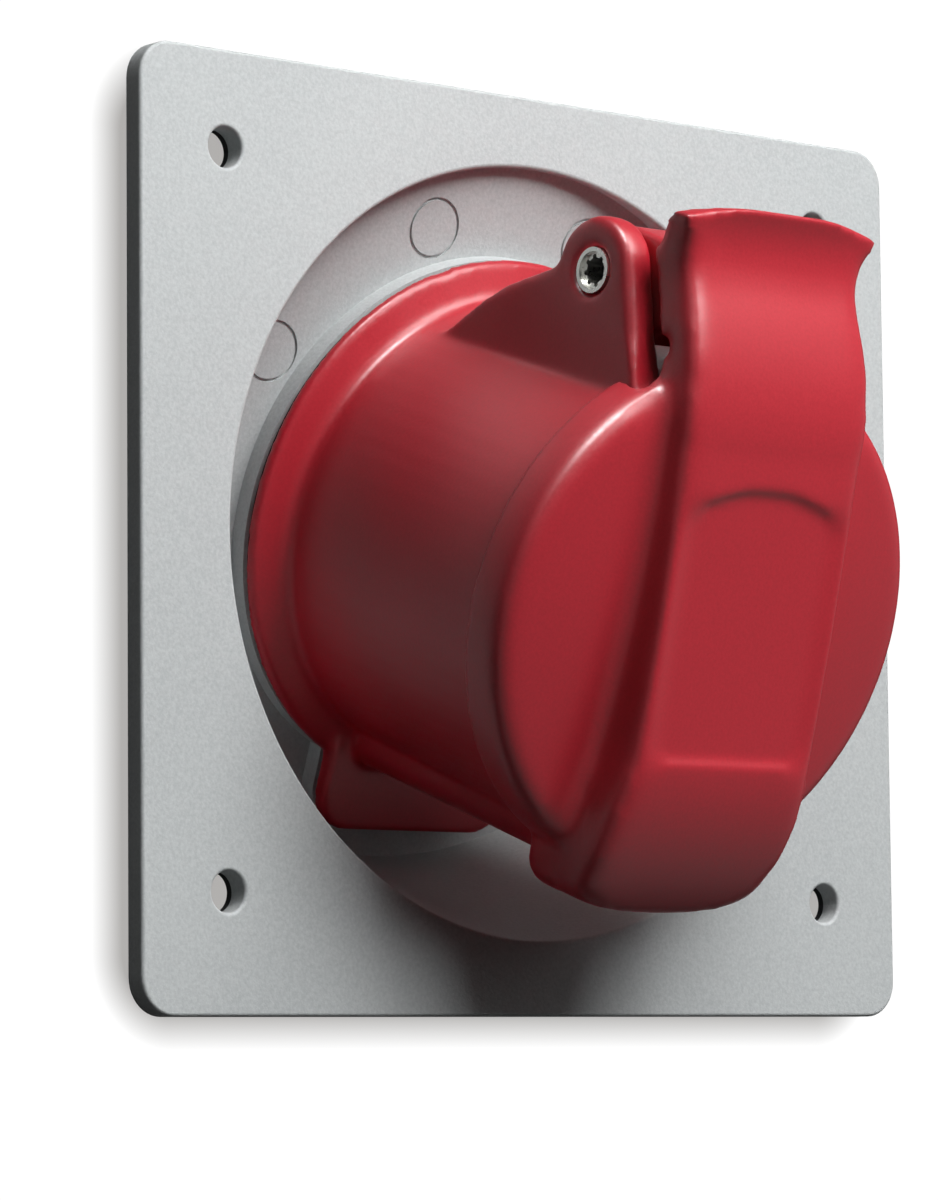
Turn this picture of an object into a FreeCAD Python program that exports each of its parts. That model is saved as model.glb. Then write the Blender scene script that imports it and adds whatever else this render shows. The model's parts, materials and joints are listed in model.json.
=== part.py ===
# Angled panel socket, three poles and earth, built in millimetres.
# Frame: X right, Z up, the front looks along -Y. The origin is the middle of the
# four screw holes on the face of the panel. The socket points forward and down.
# Bodies of the tilted group share one local frame: X as above, Y up across the
# socket, Z out along the socket, with the origin on the front of the plate.
import FreeCAD, Part
import Sketcher
import math
import os
import re

# Sizes
SIZES = [
    ("tilt", 20.0), ("gasket_thick", 0.8), ("plate_thick", 2.4),
    ("plate_side", 11.5), ("plate_end", 8.0), ("plate_corner", 4.0),
    ("hole_side", 11.0), ("hole_end", 11.5), ("hole_lift", 1.2),
    ("hole_dia", 4.3), ("edge_round", 0.4), ("gasket_inset", 0.8),
    ("opening_rad", 42.0), ("cup_wall", 2.0),
    ("floor_sink", 0.713), ("floor_thick", 2.5), ("boss_height", 2.1),
    ("boss_rad", 29.4), ("neck_hole_rad", 27.15),
    ("mark_rad", 33.4), ("mark_size", 3.4), ("mark_line", 0.35), ("mark_deep", 0.25),
    ("seal_thick", 0.7), ("seal_rad", 28.9),
    ("ring_rad", 29.7), ("ring_thick", 1.5), ("ring_slope", 1.2), ("ring_edge", 0.6),
    ("root_blend", 1.0),
    ("tongue_half", 13.0), ("tongue_low", 35.2), ("tongue_corner", 4.0),
    ("barrel_root_rad", 25.8), ("barrel_rad", 26.3), ("rim", 25.6),
    ("bore_rad", 24.0), ("bore_depth", 35.1), ("web_wall", 2.5),
    ("neck_rad", 27.0), ("neck_bore_rad", 24.6), ("neck_past", 1.0),
    ("keyway_half", 10.7), ("keyway_low", 27.6), ("keyway_corner", 3.0),
    ("groove_half", 4.6), ("groove_low", 26.0),
    ("pin_up", 33.3), ("pin_out", 14.2), ("pin_rad", 2.4), ("pin_gap", 0.05),
    ("pin_bore_rad", 1.35), ("pin_mouth_rad", 1.95), ("pin_mouth_deep", 0.5),
    ("ear_rad", 5.8), ("ear_in", 10.4), ("ear_out", 14.2),
    ("pin_seat_rad", 2.9), ("pin_seat_deep", 0.5),
    ("lid_rad", 27.9), ("lid_bore_rad", 27.0), ("skirt", 22.5), ("lid_edge", 27.4),
    ("lid_dome", 30.2), ("lid_ceiling", 26.6), ("lid_groove_top", 27.4),
    ("lid_gasket_in", 22.8), ("lid_gasket_out", 26.2),
    ("chin_half", 13.0), ("chin_low", 31.2), ("chin_front", 30.4), ("chin_bulge", 0.9),
    ("chin_corner", 4.0), ("band_half", 12.8), ("band_low_half", 12.6), ("band_neck", 12.2),
    ("band_lip", 35.9), ("band_brow", 32.9), ("tab_half", 13.6), ("tab_top", 43.6),
    ("tab_arch", 1.9), ("tab_front", 26.8), ("scoop_half", 11.4), ("scoop_low", 13.2),
    ("scoop_top", 12.3), ("scoop_arch", 3.1), ("scoop_deep", 0.45),
    ("knuckle_rad", 5.1), ("knuckle_half", 10.2), ("catch_half", 4.0), ("catch_up", 19.8),
    ("catch_long", 3.4), ("catch_deep", 2.6),
    ("coil_rad", 3.3), ("wire_rad", 0.5), ("coil_half", 3.3), ("coil_pitch", 1.32),
    ("coil_room", 4.4), ("rib_reach", 12.2), ("rib_thick", 3.0),
    ("insert_rad", 19.5), ("insert_front", 19.0), ("insert_hole_rad", 19.7),
    ("insert_rim_rad", 21.2), ("insert_rim_thick", 3.0), ("back_rad", 24.4), ("hub_rad", 18.0),
    ("back_thick", 3.0), ("lug_at", 21.9), ("lug_rad", 2.6), ("lug_gap", 0.3),
    ("lug_long", 10.0), ("lug_hole_rad", 1.25),
    ("pole_circle", 12.0), ("sleeve_rad", 3.6), ("sleeve_bore_rad", 2.55),
    ("earth_rad", 4.6), ("earth_bore_rad", 3.55), ("mouth_gap", 0.25), ("hole_room", 0.15),
    ("sleeve_front", 16.5), ("earth_front", 18.0), ("front_wall", 2.2),
    ("sleeve_bore_deep", 30.0), ("clip_room", 1.2), ("clip_wall", 0.7), ("clip_at", 10.0),
    ("clip_long", 3.0), ("room_end", 3.0), ("slot_wide", 0.8), ("slot_long", 14.0),
    ("collar_rad", 5.0), ("earth_collar_rad", 5.8), ("collar_thick", 1.5),
    ("stud_rad", 4.4), ("earth_stud_rad", 5.2), ("stud_long", 13.0),
    ("wire_hole_rad", 1.9), ("wire_hole_deep", 10.0),
    ("clamp_screw_rad", 1.75), ("clamp_screw_long", 2.4), ("clamp_head_rad", 3.0),
    ("clamp_head_thick", 2.2), ("clamp_at", 6.0), ("slot_deep", 0.9), ("slot_narrow", 0.9),
    ("nut_wall", 5.95), ("nut_gap", 0.05), ("nut_thick", 5.5), ("nut_notch_rad", 2.4),
    ("nut_bevel", 0.9),
    ("back_screw_rad", 1.25), ("back_screw_long", 8.0), ("back_head_rad", 2.4),
    ("back_head_thick", 1.6), ("key_half", 3.0), ("key_low", 28.6), ("key_gap", 0.15),
]

DOC = FreeCAD.newDocument("panel_socket")
SHEET = DOC.addObject("Spreadsheet::Sheet", "Size")
for row, (word, value) in enumerate(SIZES, 1):
    SHEET.set("A%d" % row, word)
    SHEET.set("B%d" % row, str(value))
    SHEET.setAlias("B%d" % row, word)
DOC.recompute()

# Sizes that follow from others. The plate and its holes keep their distance from the
# round opening, and the tilted floor stays behind the front of the plate all over.
FOLLOW = {
    "plate_wide": "(2*(opening_rad + plate_side))",
    "plate_high": "(2*(opening_rad + plate_end))",
    "hole_x": "(opening_rad + plate_side - hole_side)",
    "hole_z": "(opening_rad + plate_end - hole_end)",
    "nut_rad": "(nut_bore_rad + nut_wall)",
    "nut_bore_rad": "(neck_rad + nut_gap)",
    "neck_end": "(floor_depth + floor_thick + nut_thick + neck_past)",
    "floor_depth": "(opening_rad*tan(tilt) + floor_sink)",
}
MATHS = ("sin", "cos", "tan", "atan", "sqrt", "abs", "min", "max")
FRONT = "(gasket_thick + plate_thick)"


def link(text):
    """Turn plain words into references to the size table."""
    for word, rule in FOLLOW.items():
        text = re.sub(r"\b%s\b" % word, rule, text)
    return re.sub(r"[a-z][a-z_]*", lambda m: m.group(0) if m.group(0) in MATHS
                  else "Size." + m.group(0), text)


def num(text):
    value = SHEET.evalExpression(link(text))
    return float(getattr(value, "Value", value))


# Sketch helpers
def origin(body, name):
    for item in body.Origin.OriginFeatures:
        if item.Name.startswith(name):
            return item


def new_body(label, tilted=True):
    body = DOC.addObject("PartDesign::Body", label)
    body.Label = label
    body.Placement = FreeCAD.Placement(
        FreeCAD.Vector(0, -num(FRONT) if tilted else 0, -num("hole_lift")),
        FreeCAD.Rotation(FreeCAD.Vector(1, 0, 0), 90 + num("tilt") if tilted else 0))
    body.setExpression("Placement.Base.z", link("-hole_lift"))
    if tilted:
        body.setExpression("Placement.Base.y", link("-" + FRONT))
        body.setExpression("Placement.Rotation.Angle", link("90 + tilt"))
    return body


def sketch(body, name, plane, lift="0"):
    sk = body.newObject("Sketcher::SketchObject", name)
    sk.AttachmentSupport = (origin(body, plane), [""])
    sk.MapMode = "FlatFace"
    if lift != "0":
        sk.AttachmentOffset = FreeCAD.Placement(
            FreeCAD.Vector(0, 0, num(lift)), FreeCAD.Rotation())
        sk.setExpression("AttachmentOffset.Base.z", link(lift))
    return sk


def tilted_sketch(body, name, out):
    """A sketch across the socket at the distance out, in an upright body."""
    up, along = "-(%s)*sin(tilt)" % out, "%s + (%s)*cos(tilt)" % (FRONT, out)
    sk = body.newObject("Sketcher::SketchObject", name)
    sk.AttachmentSupport = (origin(body, "XZ_Plane"), [""])
    sk.MapMode = "FlatFace"
    sk.AttachmentOffset = FreeCAD.Placement(
        FreeCAD.Vector(0, num(up), num(along)),
        FreeCAD.Rotation(FreeCAD.Vector(1, 0, 0), num("tilt")))
    sk.setExpression("AttachmentOffset.Base.y", link(up))
    sk.setExpression("AttachmentOffset.Base.z", link(along))
    sk.setExpression("AttachmentOffset.Rotation.Angle", link("tilt"))
    return sk


def drive(sk, kind, args, text):
    index = sk.addConstraint(Sketcher.Constraint(kind, *args, num(text)))
    sk.setExpression("Constraints[%d]" % index, link(text))


def hold(sk, geo, pos, x, y):
    """Tie a point of the sketch to the two given distances."""
    if x == "0":
        sk.addConstraint(Sketcher.Constraint("PointOnObject", geo, pos, -2))
    else:
        drive(sk, "DistanceX", (-1, 1, geo, pos), x)
    if y == "0":
        sk.addConstraint(Sketcher.Constraint("PointOnObject", geo, pos, -1))
    else:
        drive(sk, "DistanceY", (-1, 1, geo, pos), y)


def poly(sk, points):
    spots = [FreeCAD.Vector(num(x), num(y), 0) for x, y in points]
    count, first = len(spots), sk.GeometryCount
    for i in range(count):
        sk.addGeometry(Part.LineSegment(spots[i], spots[(i + 1) % count]), False)
    for i in range(count):
        sk.addConstraint(Sketcher.Constraint(
            "Coincident", first + i, 2, first + (i + 1) % count, 1))
    for i, (x, y) in enumerate(points):
        hold(sk, first + i, 1, x, y)


def outline(sk, corners):
    """A closed outline of corners. One with a second pair is reached by an arc through it."""
    spots = [FreeCAD.Vector(num(item[0]), num(item[1]), 0) for item in corners]
    ends = []
    for i, item in enumerate(corners):
        start, end = spots[i - 1], spots[i]
        if len(item) == 2:
            geo = sk.addGeometry(Part.LineSegment(start, end), False)
            ends.append((geo, 1, 2))
            continue
        via = FreeCAD.Vector(num(item[2]), num(item[3]), 0)
        left = (via - start).cross(end - via).z > 0
        curve = Part.Arc(start, via, end).toShape().Curve
        ring = Part.Circle(curve.Center, FreeCAD.Vector(0, 0, 1), curve.Radius)
        first, last = (start, end) if left else (end, start)
        geo = sk.addGeometry(Part.ArcOfCircle(
            ring, ring.parameter(first), ring.parameter(last)), False)
        ends.append((geo, 1, 2) if left else (geo, 2, 1))
        spot = sk.addGeometry(Part.Point(via), True)
        hold(sk, spot, 1, item[2], item[3])
        sk.addConstraint(Sketcher.Constraint("PointOnObject", spot, 1, geo))
    for i, (geo, start, end) in enumerate(ends):
        after, begin, _ = ends[(i + 1) % len(ends)]
        sk.addConstraint(Sketcher.Constraint("Coincident", geo, end, after, begin))
        hold(sk, geo, end, corners[i][0], corners[i][1])


def mirrored(corners):
    """The right half of an outline, from bottom to top, and its mirror image back down.
    The first corner has no arc, and an arc of the top one leads to its mirror image."""
    def flip(text):
        return "-(%s)" % text
    right, top = corners[:-1], corners[-1]
    back = [(flip(right[-1][0]), right[-1][1]) + tuple(top)]
    for after, item in zip(reversed(right[1:]), reversed(right[:-1])):
        via = (flip(after[2]), after[3]) if len(after) == 4 else ()
        back.append((flip(item[0]), item[1]) + via)
    return right + back


def circle(sk, x, y, rad):
    geo = sk.addGeometry(Part.Circle(
        FreeCAD.Vector(num(x), num(y), 0), FreeCAD.Vector(0, 0, 1), num(rad)), False)
    hold(sk, geo, 3, x, y)
    drive(sk, "Radius", (geo,), rad)


def ellipse(sk, wide, high):
    """An ellipse round the origin, wide half along X."""
    geo = sk.addGeometry(Part.Ellipse(
        FreeCAD.Vector(num(wide), 0, 0), FreeCAD.Vector(0, num(high), 0),
        FreeCAD.Vector(0, 0, 0)), False)
    sk.exposeInternalGeometry(geo)
    sk.addConstraint(Sketcher.Constraint("Coincident", geo, 3, -1, 1))
    sk.addConstraint(Sketcher.Constraint("Horizontal", geo + 1))
    drive(sk, "Distance", (geo + 1,), "2*(%s)" % wide)
    drive(sk, "Distance", (geo + 2,), "2*(%s)" % high)


def round_box(sk, left, low, right, top, corner):
    """A box with round corners, from four lines and four arcs."""
    r = num(corner)
    x0, x1, y0, y1 = num(left), num(right), num(low), num(top)
    spots = [(x1 - r, y1 - r, 0), (x0 + r, y1 - r, 90), (x0 + r, y0 + r, 180),
             (x1 - r, y0 + r, 270)]
    names = [("%s - %s" % (right, corner), "%s - %s" % (top, corner)),
             ("%s + %s" % (left, corner), "%s - %s" % (top, corner)),
             ("%s + %s" % (left, corner), "%s + %s" % (low, corner)),
             ("%s - %s" % (right, corner), "%s + %s" % (low, corner))]
    first = sk.GeometryCount
    for cx, cy, start in spots:
        ring = Part.Circle(FreeCAD.Vector(cx, cy, 0), FreeCAD.Vector(0, 0, 1), r)
        sk.addGeometry(Part.ArcOfCircle(
            ring, math.radians(start), math.radians(start + 90)), False)
    for i in range(4):
        cx, cy, start = spots[i]
        nx, ny, after = spots[(i + 1) % 4]
        end, begin = math.radians(start + 90), math.radians(after)
        sk.addGeometry(Part.LineSegment(
            FreeCAD.Vector(cx + r * math.cos(end), cy + r * math.sin(end), 0),
            FreeCAD.Vector(nx + r * math.cos(begin), ny + r * math.sin(begin), 0)), False)
    for i in range(4):
        hold(sk, first + i, 3, *names[i])
        drive(sk, "Radius", (first + i,), corner)
        sk.addConstraint(Sketcher.Constraint("Tangent", first + i, 2, first + 4 + i, 1))
        sk.addConstraint(Sketcher.Constraint(
            "Tangent", first + 4 + i, 2, first + (i + 1) % 4, 1))


# Feature helpers
def pad(body, name, sk, length, both=False, reverse=False):
    feature = body.newObject("PartDesign::Pad", name)
    feature.Profile = sk
    feature.Length = num(length)
    feature.setExpression("Length", link(length))
    feature.Midplane = both
    feature.Reversed = reverse
    return feature


def pocket(body, name, sk, length=None, both=False, reverse=False):
    feature = body.newObject("PartDesign::Pocket", name)
    feature.Profile = sk
    if length is None:
        feature.Type = "ThroughAll"
    else:
        feature.Length = num(length)
        feature.setExpression("Length", link(length))
    feature.Midplane = both
    feature.Reversed = reverse
    return feature


def turn(body, name, sk, cut=False):
    feature = body.newObject("PartDesign::Groove" if cut else "PartDesign::Revolution", name)
    feature.Profile = sk
    feature.ReferenceAxis = (sk, ["V_Axis"])
    feature.Angle = 360
    return feature


def rounded(body, name, test, size):
    """Round each edge of the current shape that passes the test."""
    DOC.recompute()
    base = body.Tip
    names = ["Edge%d" % (i + 1) for i, edge in enumerate(base.Shape.Edges) if test(edge)]
    feature = body.newObject("PartDesign::Fillet", name)
    feature.Base = (base, names)
    feature.Radius = num(size)
    feature.setExpression("Radius", link(size))
    return feature


# Flange: plate, tilted cup, floor and boss in one moulding
FLANGE = new_body("flange", tilted=False)
FLOOR_BACK = "-floor_depth - floor_thick"
sk = tilted_sketch(FLANGE, "cup_outline", FLOOR_BACK)
ellipse(sk, "opening_rad + cup_wall", "(opening_rad + cup_wall)*cos(tilt)")
pad(FLANGE, "cup", sk, "floor_depth + floor_thick + (opening_rad + cup_wall)*sin(tilt) + 3")
sk = sketch(FLANGE, "front_outline", "XZ_Plane", FRONT)
poly(sk, [("-plate_wide", "-plate_high"), ("plate_wide", "-plate_high"),
          ("plate_wide", "plate_high"), ("-plate_wide", "plate_high")])
pocket(FLANGE, "front_trim", sk, "plate_high/2", reverse=True)
sk = sketch(FLANGE, "plate_outline", "XZ_Plane", "gasket_thick")
round_box(sk, "-plate_wide/2", "-plate_high/2", "plate_wide/2", "plate_high/2", "plate_corner")
pad(FLANGE, "plate", sk, "plate_thick")
sk = tilted_sketch(FLANGE, "recess_outline", "-floor_depth")
ellipse(sk, "opening_rad", "opening_rad*cos(tilt)")
pocket(FLANGE, "recess", sk, reverse=True)
sk = tilted_sketch(FLANGE, "boss_outline", "-floor_depth")
circle(sk, "0", "0", "boss_rad")
pad(FLANGE, "boss", sk, "boss_height")
sk = tilted_sketch(FLANGE, "boss_tongue_outline", "-floor_depth")
round_box(sk, "-tongue_half + 0.4", "-tongue_low + 0.4", "tongue_half - 0.4", "-boss_rad/2",
          "tongue_corner")
pad(FLANGE, "boss_tongue", sk, "boss_height")
sk = tilted_sketch(FLANGE, "neck_hole_outline", FLOOR_BACK)
circle(sk, "0", "0", "neck_hole_rad")
pocket(FLANGE, "neck_hole", sk, reverse=True)
sk = tilted_sketch(FLANGE, "key_slot_outline", FLOOR_BACK)
poly(sk, [("-key_half - key_gap", "-key_low - key_gap"), ("key_half + key_gap",
     "-key_low - key_gap"), ("key_half + key_gap", "-boss_rad/2"),
     ("-key_half - key_gap", "-boss_rad/2")])
pocket(FLANGE, "key_slot", sk, reverse=True)
sk = sketch(FLANGE, "hole_outline", "XZ_Plane", FRONT)
for sx in ("-", ""):
    for sz in ("-", ""):
        circle(sk, sx + "hole_x", sz + "hole_z + hole_lift", "hole_dia/2")
pocket(FLANGE, "mount_holes", sk)
sk = tilted_sketch(FLANGE, "mark_outline", "-floor_depth")
for angle in (29, 71, 109, 151, 209, 331):
    x, y = "mark_rad*cos(%d)" % angle, "mark_rad*sin(%d)" % angle
    circle(sk, x, y, "mark_size")
    circle(sk, x, y, "mark_size - mark_line")
pocket(FLANGE, "moulding_marks", sk, "mark_deep")
rounded(FLANGE, "front_edges", lambda e: all(
    abs(v.Y + num(FRONT)) < 1e-4 for v in e.Vertexes) and abs(
    e.BoundBox.YMax - e.BoundBox.YMin) < 1e-4 and e.Length > num("2.2*plate_corner"),
    "edge_round")

# Flange gasket
GASKET = new_body("flange_gasket", tilted=False)
sk = sketch(GASKET, "sheet_outline", "XZ_Plane")
round_box(sk, "-plate_wide/2 + gasket_inset", "-plate_high/2 + gasket_inset",
          "plate_wide/2 - gasket_inset", "plate_high/2 - gasket_inset", "plate_corner")
circle(sk, "0", "gasket_thick", "opening_rad + cup_wall + 1")
for sx in ("-", ""):
    for sz in ("-", ""):
        circle(sk, sx + "hole_x", sz + "hole_z + hole_lift", "hole_dia/2")
pad(GASKET, "sheet", sk, "gasket_thick")

# Shell: ring, barrel, keyway, ears and neck
RING_BACK = "(-floor_depth + boss_height + seal_thick)"
RING_FRONT = "(-floor_depth + boss_height + seal_thick + ring_thick)"
BORE_END = "(rim - bore_depth)"
WEB_BACK = "(rim - bore_depth - web_wall)"
SHELL = new_body("shell")
sk = sketch(SHELL, "outer_outline", "XZ_Plane")
outline(sk, [
    ("0", "-neck_end"), ("neck_rad", "-neck_end"), ("neck_rad", RING_BACK),
    ("ring_rad", RING_BACK), ("ring_rad", RING_FRONT + " - ring_edge"),
    ("ring_rad - ring_edge", RING_FRONT, "ring_rad - 0.29*ring_edge",
     RING_FRONT + " - 0.29*ring_edge"),
    ("barrel_root_rad + root_blend", RING_FRONT + " + 0.7*ring_slope"),
    ("barrel_root_rad", RING_FRONT + " + ring_slope + root_blend",
     "barrel_root_rad + 0.25*root_blend", RING_FRONT + " + 0.85*ring_slope + 0.3*root_blend"),
    ("barrel_rad", "rim"), ("0", "rim")])
turn(SHELL, "outer", sk)
sk = sketch(SHELL, "tongue_outline", "XY_Plane", RING_BACK)
round_box(sk, "-tongue_half", "-tongue_low", "tongue_half", "-barrel_rad/2", "tongue_corner")
pad(SHELL, "tongue", sk, "ring_thick + ring_slope/2")
sk = sketch(SHELL, "keyway_outline", "XY_Plane", RING_FRONT)
round_box(sk, "-keyway_half", "-keyway_low", "keyway_half", "-barrel_rad/2", "keyway_corner")
pad(SHELL, "keyway", sk, "rim - " + RING_FRONT)
for side, lift in (("right", "ear_in"), ("left", "-ear_out")):
    sk = sketch(SHELL, "web_outline_" + side, "YZ_Plane", lift)
    poly(sk, [("pin_up - 15.3", RING_BACK), ("pin_up - 13.1", RING_FRONT + " + 3"),
              ("pin_up - 4.4", "pin_out - 13.3"), ("pin_up - 0.6", "pin_out - 5.7"),
              ("pin_up", "pin_out"), ("pin_up + 2.5", "pin_out + 5.2"),
              ("pin_up - 11.4", "rim - 0.4"), ("pin_up - 15.3", "rim - 0.4")])
    pad(SHELL, "web_" + side, sk, "ear_out - ear_in")
    sk = sketch(SHELL, "ear_outline_" + side, "YZ_Plane", lift)
    circle(sk, "pin_up", "pin_out", "ear_rad")
    pad(SHELL, "ear_" + side, sk, "ear_out - ear_in")
sk = sketch(SHELL, "rib_outline", "YZ_Plane")
RIB_TOP = "(pin_up - coil_rad - wire_rad)"
poly(sk, [("pin_up - 12", "pin_out - rib_reach"), (RIB_TOP, "pin_out - rib_reach"),
          (RIB_TOP, "pin_out - rib_reach + rib_thick"),
          ("pin_up - 12", "pin_out - rib_reach + rib_thick")])
pad(SHELL, "rib", sk, "2*ear_in + 1", both=True)
sk = sketch(SHELL, "bore_outline", "XZ_Plane")
poly(sk, [("0", "-neck_end - 1"), ("neck_bore_rad", "-neck_end - 1"),
          ("neck_bore_rad", WEB_BACK), ("insert_hole_rad", WEB_BACK),
          ("insert_hole_rad", BORE_END), ("bore_rad", BORE_END), ("bore_rad", "rim + 1"),
          ("0", "rim + 1")])
turn(SHELL, "bore", sk, cut=True)
sk = sketch(SHELL, "groove_outline", "XY_Plane", BORE_END)
poly(sk, [("-groove_half", "-groove_low"), ("groove_half", "-groove_low"),
          ("groove_half", "-insert_rad"), ("-groove_half", "-insert_rad")])
pocket(SHELL, "groove", sk, "bore_depth + 1", reverse=True)
sk = sketch(SHELL, "pin_hole_outline", "YZ_Plane")
circle(sk, "pin_up", "pin_out", "pin_rad")
pocket(SHELL, "pin_hole", sk, "4*ear_out", both=True)
for side, lift in (("right", "ear_out"), ("left", "-ear_out")):
    sk = sketch(SHELL, "pin_seat_outline_" + side, "YZ_Plane", lift)
    circle(sk, "pin_up", "pin_out", "pin_seat_rad")
    pocket(SHELL, "pin_seat_" + side, sk, "pin_seat_deep", reverse=side == "left")
sk = sketch(SHELL, "lug_outline", "XY_Plane", WEB_BACK)
for sx in ("-", ""):
    circle(sk, sx + "lug_at", "0", "lug_rad")
pad(SHELL, "lugs", sk, "lug_long", reverse=True)
sk = sketch(SHELL, "lug_hole_outline", "XY_Plane", WEB_BACK + " - lug_long")
for sx in ("-", ""):
    circle(sk, sx + "lug_at", "0", "lug_hole_rad")
pocket(SHELL, "lug_holes", sk, "back_screw_long", reverse=True)
sk = sketch(SHELL, "key_outline", "XY_Plane", FLOOR_BACK)
poly(sk, [("-key_half", "-key_low"), ("key_half", "-key_low"),
          ("key_half", "-neck_rad + 1"), ("-key_half", "-neck_rad + 1")])
pad(SHELL, "key", sk, "floor_thick + boss_height")


# Seal between ring and boss
SEAL = new_body("shell_seal")
sk = sketch(SEAL, "seal_outline", "XY_Plane", "-floor_depth + boss_height")
circle(sk, "0", "0", "seal_rad")
circle(sk, "0", "0", "neck_hole_rad")
pad(SEAL, "seal", sk, "seal_thick")

# Nut that clamps the floor of the flange
NUT = new_body("retaining_nut")
NUT_BACK = FLOOR_BACK + " - nut_thick"
sk = sketch(NUT, "nut_outline", "XZ_Plane")
poly(sk, [("nut_bore_rad", FLOOR_BACK), ("nut_rad", FLOOR_BACK),
          ("nut_rad", NUT_BACK + " + nut_bevel"), ("nut_rad - nut_bevel", NUT_BACK),
          ("nut_bore_rad + nut_bevel/2", NUT_BACK),
          ("nut_bore_rad", NUT_BACK + " + nut_bevel/2")])
turn(NUT, "nut", sk)
sk = sketch(NUT, "notch_outline", "XY_Plane", FLOOR_BACK)
for angle in range(0, 360, 30):
    circle(sk, "(nut_rad + nut_notch_rad/3)*cos(%d)" % angle if angle not in (90, 270) else "0",
           "(nut_rad + nut_notch_rad/3)*sin(%d)" % angle if angle not in (0, 180) else "0",
           "nut_notch_rad")
pocket(NUT, "notches", sk, "nut_thick + 1")

# Lid: band with tab and chin, cap, and knuckle
LID = new_body("lid")
CHIN_BACK = "(-chin_low + chin_corner)"
sk = sketch(LID, "band_outline", "YZ_Plane")
outline(sk, [
    ("-chin_low + 1.2", "lid_ceiling + 1"), ("-chin_low", "lid_ceiling + 1"),
    ("-chin_low", "chin_front"),
    ("-scoop_low", "band_lip", "-scoop_low - 10.3", "band_lip - 1.6"),
    ("pin_up - 14.3", "band_brow", "2.5", "band_lip - 1.15"),
    ("pin_up + 0.9", "tab_front + 1.1", "pin_up - 5.7", "band_brow - 1.7"),
    ("tab_top", "tab_front", "tab_top - 5", "tab_front - 0.45"),
    ("tab_top - 0.8", "tab_front - 1.8"),
    ("pin_up + knuckle_rad - 0.3", "tab_front - 6", "tab_top - 3.2", "tab_front - 4.4"),
    ("pin_up + 3.5", "tab_front - 6"), ("pin_up - 6", "lid_ceiling - 1"),
    ("lid_rad/2", "lid_ceiling + 1")])
pad(LID, "band", sk, "2*tab_half + 1", both=True)
sk = sketch(LID, "band_plan", "XY_Plane", "skirt - 10")
poly(sk, [("-lid_rad - 10", "-lid_rad - 10"), ("lid_rad + 10", "-lid_rad - 10"),
          ("lid_rad + 10", "tab_top + 10"), ("-lid_rad - 10", "tab_top + 10")])
BOTTOM = [("-chin_half + chin_corner", "-chin_low + chin_bulge"),
          ("chin_half - chin_corner", "-chin_low + chin_bulge", "0", "-chin_low"),
          ("chin_half", CHIN_BACK, "chin_half - 0.29*chin_corner",
           CHIN_BACK + " - 0.5*chin_corner")]
SIDES = [("band_low_half", "-scoop_low", "chin_half + 0.2", "-scoop_low - 8.3"),
         ("band_half", "pin_up - 13.3", "(band_half + band_low_half)/2 - 0.2", "4"),
         ("band_neck", "pin_up + 0.7", "(band_half + band_neck)/2 + 0.2", "pin_up - 5.8"),
         ("tab_half", "tab_top - tab_arch", "band_neck + 0.4", "pin_up + 5.1")]
RIGHT = [BOTTOM[1][:2]] + BOTTOM[2:] + SIDES
WHOLE = mirrored(RIGHT + [("0", "tab_top")])
outline(sk, [WHOLE[0] + BOTTOM[1][2:]] + WHOLE[1:])
pocket(LID, "band_sides", sk, reverse=True)
sk = sketch(LID, "scoop_outline", "XY_Plane")
SCOOP_SLOPE = "atan((band_lip - band_brow)/(scoop_low + pin_up - 14.3))"
SCOOP_OUT = "band_lip - scoop_low*(band_lip - band_brow)/(scoop_low + pin_up - 14.3) - scoop_deep"
sk.AttachmentOffset = FreeCAD.Placement(
    FreeCAD.Vector(0, 0, num(SCOOP_OUT)),
    FreeCAD.Rotation(FreeCAD.Vector(1, 0, 0), -num(SCOOP_SLOPE)))
sk.setExpression("AttachmentOffset.Base.z", link(SCOOP_OUT))
sk.setExpression("AttachmentOffset.Rotation.Angle", link("-" + SCOOP_SLOPE))
outline(sk, mirrored([
    ("scoop_half - 1", "-scoop_low"),
    ("scoop_half", "-scoop_low + 1", "scoop_half - 0.29", "-scoop_low + 0.29"),
    ("scoop_half", "scoop_top"), ("0", "scoop_top + scoop_arch")]))
pocket(LID, "scoop", sk, "3", reverse=True)
sk = sketch(LID, "cap_outline", "XZ_Plane")
outline(sk, [("0", "skirt"), ("lid_rad", "skirt"), ("lid_rad", "lid_edge"),
             ("lid_rad - 1.8", "lid_edge + 1.3", "lid_rad - 0.5", "lid_edge + 0.95"),
             ("0", "lid_dome", "lid_rad/2", "lid_dome - 0.35")])
turn(LID, "cap", sk)
sk = sketch(LID, "chin_outline", "XY_Plane", "skirt")
outline(sk, [("chin_half", "-lid_rad/2"), ("-chin_half", "-lid_rad/2"),
             ("-chin_half", CHIN_BACK),
             BOTTOM[0] + ("-chin_half + 0.29*chin_corner", CHIN_BACK + " - 0.5*chin_corner"),
             BOTTOM[1], BOTTOM[2]])
pad(LID, "chin", sk, "lid_edge + 0.4 - skirt")
sk = sketch(LID, "arm_outline", "YZ_Plane")
poly(sk, [("pin_up", "pin_out"), ("pin_up + knuckle_rad", "pin_out"),
          ("pin_up + knuckle_rad - 0.3", "pin_out + 6"),
          ("pin_up + knuckle_rad - 0.3", "lid_ceiling - 4"), ("pin_up + 4", "lid_ceiling - 1.6"),
          ("pin_up - 6", "lid_ceiling - 1.6"),
          ("pin_up - 6", "pin_out + 5"), ("pin_up - knuckle_rad", "pin_out")])
pad(LID, "arm", sk, "2*knuckle_half", both=True)
sk = sketch(LID, "knuckle_outline", "YZ_Plane")
circle(sk, "pin_up", "pin_out", "knuckle_rad")
pad(LID, "knuckle", sk, "2*knuckle_half", both=True)
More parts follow.
